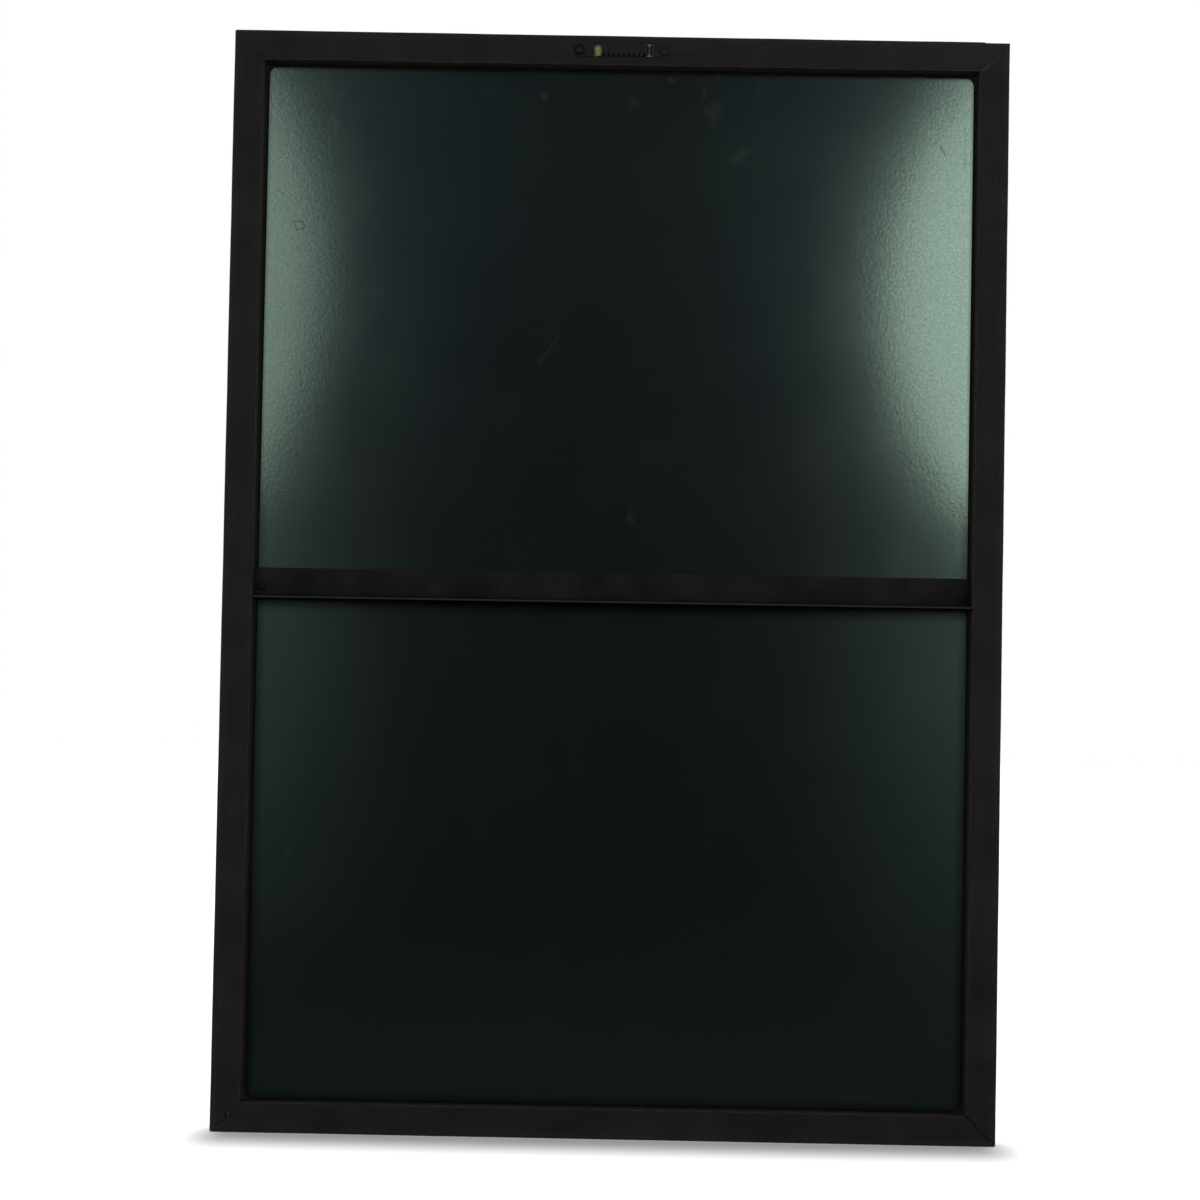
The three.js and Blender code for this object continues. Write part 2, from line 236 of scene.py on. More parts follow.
def painted_wood(settings):
    """Black acrylic paint brushed on pine moulding.

    The eye gets a satin black with the brush's fine lines along each length, faint marks of sanding
    across it, and edges where the paint has thinned to a warmer grey, raised until it is also a
    painted highlight along them. The same grey is painted on as light: on the walls round the panel,
    as a painted highlight near the outer edge, and as painted light at the right of the top rail."""
    material, tree, place = new_material("brushed_black_paint_on_pine")
    grain = add(tree, "Attribute", attribute_name="grain", out="Vector")
    edge, painted_wall_light = (add(tree, "Attribute", attribute_name=name, out="Fac") for name in ("edge", "painted_wall_light"))
    _, around, _ = add(tree, "SeparateXYZ", [grain], out=None)
    x, _, z = add(tree, "SeparateXYZ", [place], out=None)

    def streaks(along, across, detail):
        """Noise drawn out along the length: along and across are the sizes of a streak in metres."""
        stretched = add(tree, "VectorMath.MULTIPLY", [grain, (1 / along, 1 / across, 1)])
        return add(tree, "TexNoise", {"Vector": stretched, "Scale": 1, "Detail": detail})

    # A brush's lines and a sander's scratches are about 0.2 mm wide. They are drawn this coarse to show
    fibre = streaks(26 * MM, 0.9 * MM, 3)
    brush = streaks(60 * MM, 0.45 * MM, 2)
    sanding = streaks(0.9 * MM, 9 * MM, 2)
    blotch = add(tree, "TexNoise", {"Vector": place, "Scale": 1 / (22 * MM), "Detail": 3})
    speck = add(tree, "TexNoise", {"Vector": place, "Scale": 1 / (1.6 * MM), "Detail": 2})

    tone = add(tree, "Math.MULTIPLY", [brush, blotch])
    tone = add(tree, "MapRange", [tone, 0.14, 0.4, 0, 0.16])
    # Painted light: paler towards the right of the top rail
    right = add(tree, "MapRange", [x, 90 * MM, 220 * MM, 0, 0.06], **SMOOTH)
    top = add(tree, "MapRange", [z, 685 * MM, 692 * MM], **SMOOTH)
    painted_light_top_right = add(tree, "Math.MULTIPLY", [right, top])
    # Painted highlight along the outer edge
    edge_highlight = add(tree, "MapRange", [around, 1.5 * MM, 6 * MM, 0.08, 0])
    # Wear on the edges, raised until it is also a painted highlight along them
    worn = add(tree, "Math.MULTIPLY", [speck, edge])
    worn = add(tree, "MapRange", [worn, 0.3, 0.65])
    # Painted light: pale paint on the walls round the panel, less of it deeper in
    light_band = add(tree, "Math.MULTIPLY", [painted_wall_light, 0.75])
    cover = tone
    for more in (painted_light_top_right, edge_highlight):
        cover = add(tree, "Math.ADD", [cover, more])
    for more in (worn, light_band, strokes(tree, place, PALE_MARKS_AND_HIGHLIGHTS)):
        cover = add(tree, "Math.MAXIMUM", [cover, more])
    paints = {FACTOR: cover, FIRST: rgba(settings.paint), SECOND: rgba(settings.thin_paint_and_light)}
    paint = add(tree, "Mix", paints, **COLOURS)
    # Painted shade where the paint sinks over and beside the corner nail
    sunken = strokes(tree, place, SUNKEN_MARK_SHADE)
    paint = add(tree, "Mix", {FACTOR: sunken, FIRST: paint, SECOND: rgba(BLACK)}, **COLOURS)

    normal = add(tree, "Bump", {"Height": brush, "Strength": 0.25, "Distance": 0.06 * MM})
    for height, strength, depth in ((sanding, 0.2, 0.05 * MM), (fibre, 0.4, 0.12 * MM)):
        relief = {"Height": height, "Strength": strength, "Distance": depth, "Normal": normal}
        normal = add(tree, "Bump", relief)
    surface = {
        "Base Color": paint,
        "Roughness": add(tree, "MapRange", [blotch, 0.3, 0.7, 0.5, 0.66]),
        "IOR": 1.45,
        "Specular IOR Level": 0.05,
        "Normal": normal,
    }
    add(tree, "OutputMaterial", {"Surface": add(tree, "BsdfPrincipled", surface)}, out=None)
    return material


# Finger marks and smears on the back of the panel: place from the middle of the bottom edge and size
# across and up, in millimetres, and how strongly each shows, in parts of the dust colour
SMEARS = (
    (10.8, 397, 5, 4.5, 0.016),
    (92, 379, 1.2, 2.2, 0.012),
    (-64, 466, 7, 9, 0.004),
    (-50.5, 486, 1.6, 3, 0.008),
    (-50.5, 668.5, 2.6, 3, 0.025),
    (-85, 671, 10, 6, 0.006),
    (7.5, 665, 4, 6, 0.016),
    (33, 682, 5, 2, 0.03),
    (53, 676, 4, 7, 0.02),
    (60, 660, 7, 12, 0.018),
    (63, 684, 1.5, 3, 0.03),
    (77, 633, 6, 8, 0.02),
    (91, 677, 4, 5, 0.01),
    (-187, 649, 5, 5, 0.03),
    (-181, 669, 2.6, 3, 0.03),
    (-205.7, 178, 5, 5, 0.008),
    (92, 137, 16, 9, 0.003),
)
# A smear doesn't reach through the sheet: its size through it, in millimetres
SMEAR_DEPTH = 10
# Pale streaks wiped into the enamel, and fine scratches that break its gloss
STREAKS = (((-38, 512.6), (-50.5, 496), 1.6, 0.012),)
SCRATCHES = (
    ((207.1, 641.0), (210.4, 635.2), 0.7, 0.5),
    ((222.9, 654.5), (223.2, 627.7), 0.6, 0.2),
    ((221.0, 630.0), (228.8, 630.2), 0.6, 0.25),
    ((-210.6, 584.8), (-204.6, 585.4), 0.6, 0.4),
    ((-204.6, 585.4), (-203.4, 581.2), 0.6, 0.4),
    ((-203.4, 581.2), (-208.6, 579.6), 0.6, 0.4),
    ((-208.6, 579.6), (-210.6, 584.8), 0.6, 0.4),
    ((-222.5, 606.5), (-214.5, 600.5), 0.6, 0.25),
    ((-222.0, 661.0), (-219.0, 664.0), 0.8, 0.3),
)


def painted_panel_shade(tree, x, z):
    """Painted shade: how much of its colour and gloss the enamel keeps beside the walls and under
    the brace.

    It falls towards the frame's walls, more so below the middle than above, towards the top edge, and
    in the 9 mm under the brace's standing leg, where shade falls."""
    from_middle = add(tree, "Math.ABSOLUTE", [x])
    from_side = add(tree, "Math.SUBTRACT", [PANEL_HIGH.x, from_middle])
    from_foot = add(tree, "Math.SUBTRACT", [z, PANEL_LOW.z])
    from_top = add(tree, "Math.SUBTRACT", [PANEL_HIGH.z, z])
    inset = add(tree, "Math.MINIMUM", [from_side, from_foot])
    above_middle = add(tree, "MapRange", [z, 330 * MM, 430 * MM], **SMOOTH)
    upper = add(tree, "MapRange", [inset, 0, 2.2 * MM, 0.55, 1])
    upper = add(tree, "Math.MULTIPLY", [upper, above_middle])
    lower = add(tree, "MapRange", [inset, 0, 6 * MM, 0.45, 1])
    walls = add(tree, "Math.MAXIMUM", [lower, upper])
    below_brace = add(tree, "MapRange", [z, BRACE_LOW.z - 9 * MM, BRACE_LOW.z - 1 * MM, 1, 0.12])
    above_brace = add(tree, "Math.GREATER_THAN", [z, BRACE_LOW.z + 5 * MM])
    brace = add(tree, "Math.MAXIMUM", [below_brace, above_brace])
    top = add(tree, "MapRange", [from_top, 0, 3.5 * MM, 0.4, 1])
    shade = add(tree, "Math.MULTIPLY", [walls, top])
    return add(tree, "Math.MULTIPLY", [shade, brace])


def panel_enamel(settings):
    """Green enamel sprayed on hardboard, glossy on the wall side and matt on the writing side.

    The eye gets a near-black green with a slight orange peel and fine drawn lines that break up a
    soft lamp's reflection, and pale smears and scratches where hands touched it. Its colour and gloss
    carry painted shade beside the frame's walls and under the brace."""
    material, tree, place = new_material("sprayed_green_chalkboard_enamel")
    x, y, z = add(tree, "SeparateXYZ", [place], out=None)
    front = add(tree, "Math.GREATER_THAN", [y, (PANEL_LOW.y + PANEL_HIGH.y) / 2])
    haze = add(tree, "TexNoise", {"Vector": place, "Scale": 1 / (50 * MM), "Detail": 5, "Distortion": 0.4})
    ragged = add(tree, "TexNoise", {"Vector": place, "Scale": 1 / (5 * MM), "Detail": 5})
    ragged = add(tree, "MapRange", [ragged, 0.3, 0.7, -0.2, 1.2])

    smear = add(tree, "MapRange", [haze, 0.45, 0.8, 0, 0.002])
    for right, up, width, height, strength in SMEARS:
        centre = (right * MM, PANEL_LOW.y, up * MM)
        sizes = [1 / (size * MM) for size in (width, SMEAR_DEPTH, height)]
        away = add(tree, "VectorMath.SUBTRACT", [place, centre])
        away = add(tree, "VectorMath.MULTIPLY", [away, sizes])
        away = add(tree, "VectorMath.LENGTH", [away], out="Value")
        away = add(tree, "Math.ADD", [away, ragged])
        mark = add(tree, "MapRange", [away, 0.6, 1.5, strength, 0], **SMOOTH)
        smear = add(tree, "Math.ADD", [smear, mark])
    smear = add(tree, "Math.ADD", [smear, strokes(tree, place, STREAKS)])
    paints = {FACTOR: front, FIRST: rgba(settings.back_paint), SECOND: rgba(settings.front_paint)}
    paint = add(tree, "Mix", paints, **COLOURS)
    paint = add(tree, "Mix", {FACTOR: smear, FIRST: paint, SECOND: rgba(settings.dust)}, **COLOURS)
    # Painted shade beside the walls and under the brace, on colour and gloss
    shade = painted_panel_shade(tree, x, z)

    drawn = add(tree, "VectorMath.MULTIPLY", [place, (0.12, 1, 1)])
    drawn = add(tree, "TexNoise", {"Vector": drawn, "Scale": 1 / (1.4 * MM), "Detail": 1})
    peel = add(tree, "TexNoise", {"Vector": place, "Scale": 1 / (1.3 * MM), "Detail": 2})
    grit = add(tree, "Math.MULTIPLY", [drawn, 0.25])
    grit = add(tree, "Math.ADD", [grit, peel])
    gloss = add(tree, "MapRange", [grit, 0.4, 0.85, 0.41, 0.59])
    whole = add(tree, "Math.SUBTRACT", [1, strokes(tree, place, SCRATCHES)])
    for part in (whole, shade):
        gloss = add(tree, "Math.MULTIPLY", [gloss, part])
    matt = add(tree, "Math.MULTIPLY", [front, 0.4])
    rough = add(tree, "MapRange", [haze, 0.3, 0.7, 0.095, 0.11])
    waves = add(tree, "TexNoise", {"Vector": place, "Scale": 1 / (1.9 * MM), "Detail": 1})
    surface = {
        "Base Color": add(tree, "VectorMath.SCALE", {0: paint, "Scale": shade}),
        "Roughness": add(tree, "Math.ADD", [matt, rough]),
        "IOR": 1.62,
        "Specular IOR Level": gloss,
        "Specular Tint": rgba(linear("#dcffe8")),
        "Coat Weight": 0.055,
        "Coat Roughness": 0.34,
        "Normal": add(tree, "Bump", {"Height": waves, "Strength": 0.3, "Distance": 0.03 * MM}),
    }
    add(tree, "OutputMaterial", {"Surface": add(tree, "BsdfPrincipled", surface)}, out=None)
    return material


def black_enamel(settings):
    """Black enamel dipped on bent steel.

    The eye gets a soft even black, lighter on its worn edges, with a painted highlight on the rim
    nearest the wall and painted shade in the corner of the bend."""
    material, tree, place = new_material("dipped_black_enamel_on_steel")
    edge, rim, corner = (
        add(tree, "Attribute", attribute_name=name, out="Fac") for name in ("edge", "rim", "corner")
    )
    speck = add(tree, "TexNoise", {"Vector": place, "Scale": 1 / (1.2 * MM), "Detail": 2})
    cloud = add(tree, "TexNoise", {"Vector": place, "Scale": 1 / (30 * MM), "Detail": 4})
    cover = add(tree, "MapRange", [cloud, 0.35, 0.7, 0, 0.12])
    worn = add(tree, "Math.MULTIPLY", [speck, edge])
    worn = add(tree, "MapRange", [worn, 0.4, 0.7, 0, 0.5])
    # Painted highlight on the rim nearest the wall
    rim_highlight = add(tree, "Math.MULTIPLY", [rim, 0.24])
    for more in (worn, rim_highlight):
        cover = add(tree, "Math.MAXIMUM", [cover, more])
    paints = {FACTOR: cover, FIRST: rgba(settings.paint), SECOND: rgba(settings.worn_and_lit_paint)}
    paint = add(tree, "Mix", paints, **COLOURS)
    # Painted shade in the corner of the bend
    shade = add(tree, "MapRange", [corner, 0, 1, 1, 0.4])
    surface = {
        "Base Color": add(tree, "VectorMath.SCALE", {0: paint, "Scale": shade}),
        "Roughness": 0.55,
        "IOR": 1.5,
        "Specular IOR Level": 0.04,
        "Normal": add(tree, "Bump", {"Height": speck, "Strength": 0.25, "Distance": 0.05 * MM}),
    }
    add(tree, "OutputMaterial", {"Surface": add(tree, "BsdfPrincipled", surface)}, out=None)
    return material


def rolled_steel(paint):
    """Rolled strip steel of the corner nails.

    The eye gets a grey metal with fine rolling lines and dull stains, its top edge under the
    frame's paint. The lines are drawn coarser than real ones, to show."""
    material, tree, place = new_material("rolled_steel_strip")
    _, y, _ = add(tree, "SeparateXYZ", [place], out=None)
    stain = add(tree, "TexNoise", {"Vector": place, "Scale": 1 / (6 * MM), "Detail": 4})
    dull = add(tree, "MapRange", [stain, 0.4, 0.75, 0, 0.7])
    clean = linear("#9a9c9e")
    stained = rgba(0.45 * v for v in clean)
    metal = add(tree, "Mix", {FACTOR: dull, FIRST: rgba(clean), SECOND: stained}, **COLOURS)
    bare = add(tree, "Math.GREATER_THAN", [y, BACK_Y + 1.5 * MM])
    lines = add(tree, "VectorMath.MULTIPLY", [place, (0.08, 1, 1)])
    lines = add(tree, "TexNoise", {"Vector": lines, "Scale": 1 / (0.3 * MM), "Detail": 2})
    surface = {
        "Base Color": add(tree, "Mix", {FACTOR: bare, FIRST: rgba(paint), SECOND: metal}, **COLOURS),
        "Metallic": bare,
        "Roughness": add(tree, "MapRange", [stain, 0.3, 0.7, 0.35, 0.5]),
        "Normal": add(tree, "Bump", {"Height": lines, "Strength": 0.2, "Distance": 0.03 * MM}),
    }
    add(tree, "OutputMaterial", {"Surface": add(tree, "BsdfPrincipled", surface)}, out=None)
    return material


# How dark the painted shade in the ring round each of the hanger's nail heads leaves the lacquer
NAIL_RING_SHADE = {"left": 0.5, "right": 0.85}


def worn_lacquer(settings):
    """Black lacquer on brass-plated steel, worn through on the bends.

    The eye gets a satin black strip that is nearly lost on the frame, with painted shade in a ring
    round the nail heads, a yellow glint where the plating shows on the left bend and bare steel on the
    right one. The worn places are laid out in the shape of the glints, so they are partly wear and
    partly painted glint."""
    material, tree, place = new_material("black_lacquer_on_brass_plated_steel")
    # Worn plating laid out in the shape of the glints: partly wear and partly painted glint
    rub_and_glint = add(tree, "Attribute", attribute_name="rub_and_glint", out="Fac")
    x, _, _ = add(tree, "SeparateXYZ", [place], out=None)
    speck = add(tree, "TexNoise", {"Vector": place, "Scale": 1 / (0.8 * MM), "Detail": 3})
    bare = add(tree, "Math.MULTIPLY", [speck, rub_and_glint])
    bare = add(tree, "MapRange", [bare, 0.12, 0.5])
    tarnish = add(tree, "TexNoise", {"Vector": place, "Scale": 1 / (2.2 * MM), "Detail": 2})
    tarnish = add(tree, "MapRange", [tarnish, 0.4, 0.6], **SMOOTH)
    brown = rgba(share * v for share, v in zip((0.7, 0.62, 0.45), settings.brass))
    plate = add(tree, "Mix", {FACTOR: tarnish, FIRST: rgba(settings.brass), SECOND: brown}, **COLOURS)
    right = add(tree, "Math.GREATER_THAN", [x, settings.press_offset])
    plate = add(tree, "Mix", {FACTOR: right, FIRST: plate, SECOND: rgba(settings.steel)}, **COLOURS)

    flat = add(tree, "VectorMath.MULTIPLY", [place, (1, 0, 1)])
    # Painted shade in a ring round each nail head, on the lacquer's colour and gloss
    clean = 1
    for side, ring_shade in NAIL_RING_SHADE.items():
        low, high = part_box(f"hanger_nail_{side}")
        head = (high.x - low.x) / 2
        middle = ((low.x + high.x) / 2, 0, (low.z + high.z) / 2)
        away = add(tree, "VectorMath.DISTANCE", [flat, middle], out="Value")
        inside = add(tree, "MapRange", [away, head - 0.9 * MM, head - 0.2 * MM, 1, ring_shade], **SMOOTH)
        outside = add(tree, "MapRange", [away, head + 0.7 * MM, head + 1.5 * MM], **SMOOTH)
        ring = add(tree, "Math.MAXIMUM", [inside, outside])
        clean = add(tree, "Math.MULTIPLY", [clean, ring])
    lacquer = add(tree, "VectorMath.SCALE", {0: settings.lacquer, "Scale": clean})
    surface = {
        "Base Color": add(tree, "Mix", {FACTOR: bare, FIRST: lacquer, SECOND: plate}, **COLOURS),
        "Metallic": bare,
        "Roughness": add(tree, "MapRange", [speck, 0.3, 0.7, 0.28, 0.42]),
        "IOR": 1.5,
        "Specular IOR Level": add(tree, "Math.MULTIPLY", [clean, 0.09]),
        "Normal": add(tree, "Bump", {"Height": speck, "Strength": 0.2, "Distance": 0.04 * MM}),
    }
    add(tree, "OutputMaterial", {"Surface": add(tree, "BsdfPrincipled", surface)}, out=None)
    return material


def foam_tape():
    """Closed-cell foam tape: the eye gets a pale matt surface with darker pores.

    Real pores are finer. These are as coarse as they need to be to show."""
    material, tree, place = new_material("white_foam_tape")
    pore = add(tree, "TexVoronoi", {"Vector": place, "Scale": 1 / (0.6 * MM)})
    pore = add(tree, "MapRange", [pore, 0, 0.6, 0, 0.35])
    pale = linear("#d9d7cf")
    dark = rgba(0.6 * v for v in pale)
    foam = add(tree, "Mix", {FACTOR: pore, FIRST: rgba(pale), SECOND: dark}, **COLOURS)
    surface = {"Base Color": foam, "Roughness": 0.9}
    add(tree, "OutputMaterial", {"Surface": add(tree, "BsdfPrincipled", surface)}, out=None)
    return material


# Meshes


def quads(rows, columns, wrap):
    """Four-cornered faces between neighbours in a grid; wrap joins the last column to the first."""
    r = np.arange(rows - 1)[:, None]
    c = np.arange(columns if wrap else columns - 1)[None]
    d = (c + 1) % columns
    corners = (r * columns + c, r * columns + d, (r + 1) * columns + d, (r + 1) * columns + c)
    faces = np.stack([np.broadcast_to(k, (rows - 1, c.shape[1])) for k in corners], -1)
    return faces.reshape(-1, 4).tolist()


def bar(rows, columns):
    """Faces of a closed outline carried along a length, with a face over each end."""
    first, last = list(range(columns)), list(range((rows - 1) * columns, rows * columns))
    return [*quads(rows, columns, True), first, last]


def piece(name, points, faces, material, replaced, fields=None, weld=False):
    """Makes a mesh that replaces CAD nodes; fields are the values that it keeps at its points."""
    mesh = bpy.data.meshes.new(name)
    mesh.from_pydata(points.reshape(-1, 3).tolist(), [], faces)
    for key, values in (fields or {}).items():
        is_vector = np.ndim(values) > 2
        values = np.broadcast_to(values, points.shape if is_vector else points.shape[:2])
        attribute = mesh.attributes.new(key, "FLOAT_VECTOR" if is_vector else "FLOAT", "POINT")
        attribute.data.foreach_set("vector" if is_vector else "value", values.astype(np.float32).ravel())
    work = bpy.data.objects.new(name, mesh)
    bpy.context.scene.collection.objects.link(work)
    shell = bmesh.new()
    shell.from_mesh(mesh)
    if weld:
        bmesh.ops.remove_doubles(shell, verts=shell.verts, dist=MM / 1000)
    bmesh.ops.recalc_face_normals(shell, faces=shell.faces)
    shell.to_mesh(mesh)
    shell.free()
    mesh.shade_smooth()
    mesh.materials.append(material)
    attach(work, "root")
    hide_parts(*replaced)
    return work


def sharpen(work, degrees):
    """Keeps edges sharper than this angle crisp."""
    work.data.set_sharp_from_angle(angle=math.radians(degrees))


def thicken(work, thickness, rounding, degrees):
    """Turns an open sheet to the wall, thickens it away from there and rounds edges over this angle."""
    if work.data.polygons[0].normal.y > 0:
        work.data.flip_normals()
    solid = work.modifiers.new("thickness", "SOLIDIFY")
    solid.thickness, solid.offset = thickness, -1
    soft = work.modifiers.new("edges", "BEVEL")
    soft.width, soft.segments = rounding, 2
    soft.limit_method, soft.angle_limit = "ANGLE", math.radians(degrees)
    soft.harden_normals = True


def smooth_step(value, low, high):
    """Nought below low, one above high, and a smooth S between."""
    t = np.clip((value - low) / (high - low), 0, 1)
    return t * t * (3 - 2 * t)


ARC_POINTS = 7


def rounded_outline(corners, radii, steps):
    """A closed outline through corners in the plane.

    Each corner of radius r becomes a circular arc that touches both sides, r / tan(half the corner's
    angle) from the corner. Each side is cut into equal parts no longer than its step. The second
    result rises to 1 in the middle of each convex arc and is 0 on the sides."""
    corners = np.asarray(corners, float)
    count = len(corners)
    centre_sign = np.sign(sum(np.cross(corners[i], corners[(i + 1) % count]) for i in range(count)))
    share = np.linspace(0, 1, ARC_POINTS)
    arcs, marks = [], []
    for i in range(count):
        before = corners[i - 1] - corners[i]
        after = corners[(i + 1) % count] - corners[i]
        before, after = before / np.linalg.norm(before), after / np.linalg.norm(after)
        half = math.acos(np.clip(before @ after, -1, 1)) / 2
        bisector = (before + after) / np.linalg.norm(before + after)
        middle = corners[i] + bisector * radii[i] / math.sin(half)
        start = corners[i] + before * radii[i] / math.tan(half) - middle
        end = corners[i] + after * radii[i] / math.tan(half) - middle
        first = math.atan2(start[1], start[0])
        sweep = (math.atan2(end[1], end[0]) - first + math.pi) % (2 * math.pi) - math.pi
        angle = first + sweep * share
        arcs.append(middle + radii[i] * np.stack([np.cos(angle), np.sin(angle)], 1))
        convex = centre_sign * np.cross(-before, after) > 0
        marks.append(np.sin(np.pi * share) * convex)
    points, flags = [], []
    for i in range(count):
        start, end = arcs[i][-1], arcs[(i + 1) % count][0]
        parts = max(1, math.ceil(np.linalg.norm(end - start) / steps[i]))
        along = np.arange(1, parts)[:, None] / parts
        points += [arcs[i], start + (end - start) * along]
        flags += [marks[i], np.zeros(parts - 1)]
    return np.concatenate(points), np.concatenate(flags)


# Corners of the frame: how deep the paint sinks into the mitre (less than nought where it stands up
# in a ridge), and the half-width of that, in millimetres
MITRES = {
    "bottom_left": (0.02, 0.5),
    "bottom_right": (0.9, 0.32),
    "top_right": (-0.16, 0.55),
    "top_left": (0.2, 0.35),
}
MITRE_GAP = 0.01 * MM
# Sides of the frame, in quarter turns from the bottom one: node, and the corners that it runs between
SIDES = (
    ("bottom_rail", "bottom_left", "bottom_right"),
    ("right_stile", "bottom_right", "top_right"),
    ("top_rail", "top_right", "top_left"),
    ("left_stile", "top_left", "bottom_left"),
)
# How much of the pale paint is painted on the walls round the panel as painted light, where it isn't all
# of it
WALL_LIGHT_SHARES = {"top_rail": 0.6, "bottom_rail": 0.68}
# Right of this place the top rail's outer edge was sanded down, by this much
STEP_X = 233.3 * MM
STEP_DROP = 0.45 * MM


def wander(x, seed, longest, size):
    """A slow wander along a length: three sines, each half as long and half as high as the last."""
    phases = np.random.default_rng(seed).uniform(0, 2 * np.pi, 3)
    return sum(size / 2**k * np.sin(2 * np.pi * x * 2**k / longest + phases[k]) for k in range(3))


def frame_side(settings, index, material):
    """One side of the frame: the moulding's outline carried along a line between two 45 degree cuts.

    At a distance a from the outer edge the side runs from -L/2 + a to L/2 - a, less the mitre gap,
    and its points lie closer together in the 28 mm next to each cut. Its back face sinks or rises by
    depth * exp(-(d / width)^2) at a distance d from a mitre. Its back face and its edges wander by up
    to a tenth of a millimetre. Kept at its points: grain (place along the length, place round the
    outline), edge (one in the middle of each rounded edge) and painted_wall_light (painted light on
    the walls round the panel, less of it deeper in)."""
    name, first, last = SIDES[index]
    full = BOARD_HEIGHT if index % 2 else BOARD_WIDTH
    width, bevel, reach = settings.rail_width, settings.sight_bevel, settings.outer_arris
    corners = [
        (0, BACK_Y),
        (width, BACK_Y),
        (width, LIP_BACK_Y),
        (SIGHT_WIDTH, LIP_BACK_Y),
        (SIGHT_WIDTH, FRONT_Y - bevel),
        (SIGHT_WIDTH - bevel, FRONT_Y),
        (0, FRONT_Y),
    ]
    radii = [reach, settings.arris, 0.3 * MM, 0.3 * MM, 0.5 * MM, 0.5 * MM, settings.front_round]
    steps = [0.4 * MM, 1.5 * MM, 3 * MM, 2 * MM, 1 * MM, 3 * MM, 2 * MM]
    outline, arc = rounded_outline(corners, radii, steps)
    across, depth = outline[None, :, 0], outline[None, :, 1]
    fine = np.concatenate([np.arange(0, 2, 0.14), np.arange(2, 28, 0.5)]) * MM
    middle = np.linspace(28 * MM, full - 28 * MM, int(full / (4 * MM)))
    part = np.concatenate([fine, middle, full - fine[::-1]])[:, None] / full

    tip = 0.5 * MM * np.clip(1 - across / reach, 0, 1) ** 2
    cut = across + MITRE_GAP / math.sqrt(2) + tip
    x = (full / 2 - cut) * (2 * part - 1)
    to_first, to_last = ((full / 2 - cut + sign * x) / math.sqrt(2) for sign in (1, -1))
    back = smooth_step(-depth, -(BACK_Y + settings.arris), -BACK_Y)
    outer = smooth_step(-across, -reach, 0)
    inner = smooth_step(across, width - settings.arris, width) * smooth_step(-depth, -LIP_BACK_Y, -BACK_Y)
    # Painted light on the walls round the panel, fading deeper in; it stands in for the lamps' light there
    painted_wall_light = (across > width - 0.01 * MM) & (depth <= LIP_BACK_Y)
    painted_wall_light = painted_wall_light * smooth_step(depth, BACK_Y + settings.arris, BACK_Y + 2 * settings.arris)
    painted_wall_light = painted_wall_light * (1 - 0.35 * (depth - BACK_Y) / (LIP_BACK_Y - BACK_Y)) * WALL_LIGHT_SHARES.get(name, 1)

    y = depth + np.zeros_like(x)
    for key, away in ((first, to_first), (last, to_last)):
        sink, half_width = MITRES[key]
        y = y + back * sink * MM * np.exp(-((away / (half_width * MM)) ** 2))
    y = y + back * (0.06 * MM + wander(x, 11 + index, 0.16, 0.03 * MM))
    z = across + outer * (0.07 * MM + wander(x, 21 + index, 0.11, 0.04 * MM))
    if name == "top_rail":
        z = z + outer * STEP_DROP * smooth_step(-x, STEP_X, STEP_X + 1 * MM)
    z = z + inner * wander(x, 31 + index, 0.13, 0.08 * MM)

    half_x, half_z = BOARD_WIDTH / 2, BOARD_HEIGHT / 2
    turned_x, turned_z = (
        (x, z), (half_x - z, half_z + x), (-x, BOARD_HEIGHT - z), (z - half_x, half_z - x)
    )[index]
    around = np.concatenate([[0], np.cumsum(np.linalg.norm(np.diff(outline, axis=0), axis=1))])
    work = piece(
        name + "_moulding",
        np.stack([turned_x, y, turned_z], -1),
        bar(*x.shape),
        material,
        [name],
        {
            "grain": np.stack([x, np.broadcast_to(around, x.shape), np.full_like(x, 7.3 * index)], -1),
            "edge": arc,
            "painted_wall_light": painted_wall_light,
        },
    )
    sharpen(work, 40)


def panel_sheet(settings, material):
    """The panel: x = u * halfwidth(z), where the halfwidth shrinks along a circle at the corners."""
    half_x = (PANEL_HIGH.x - PANEL_LOW.x) / 2
    half_z = (PANEL_HIGH.z - PANEL_LOW.z) / 2
    r = settings.corner
    top = half_z - r + r * np.sin(np.linspace(0, np.pi / 2, 10))
    z = np.concatenate([-top[::-1], np.linspace(-half_z + r, half_z - r, 90)[1:-1], top])[:, None]
    lost = r - np.sqrt(np.clip(r**2 - np.clip(np.abs(z) - (half_z - r), 0, r) ** 2, 0, None))
    x = np.linspace(-1, 1, 61)[None] * (half_x - lost)
    points = np.stack(
        [x, np.full_like(x, PANEL_LOW.y), np.broadcast_to(z, x.shape) + (PANEL_LOW.z + half_z)], -1
    )
    work = piece("green_panel", points, quads(*x.shape, False), material, ["chalk_panel"])
    thicken(work, PANEL_HIGH.y - PANEL_LOW.y, 0.15 * MM, 50)


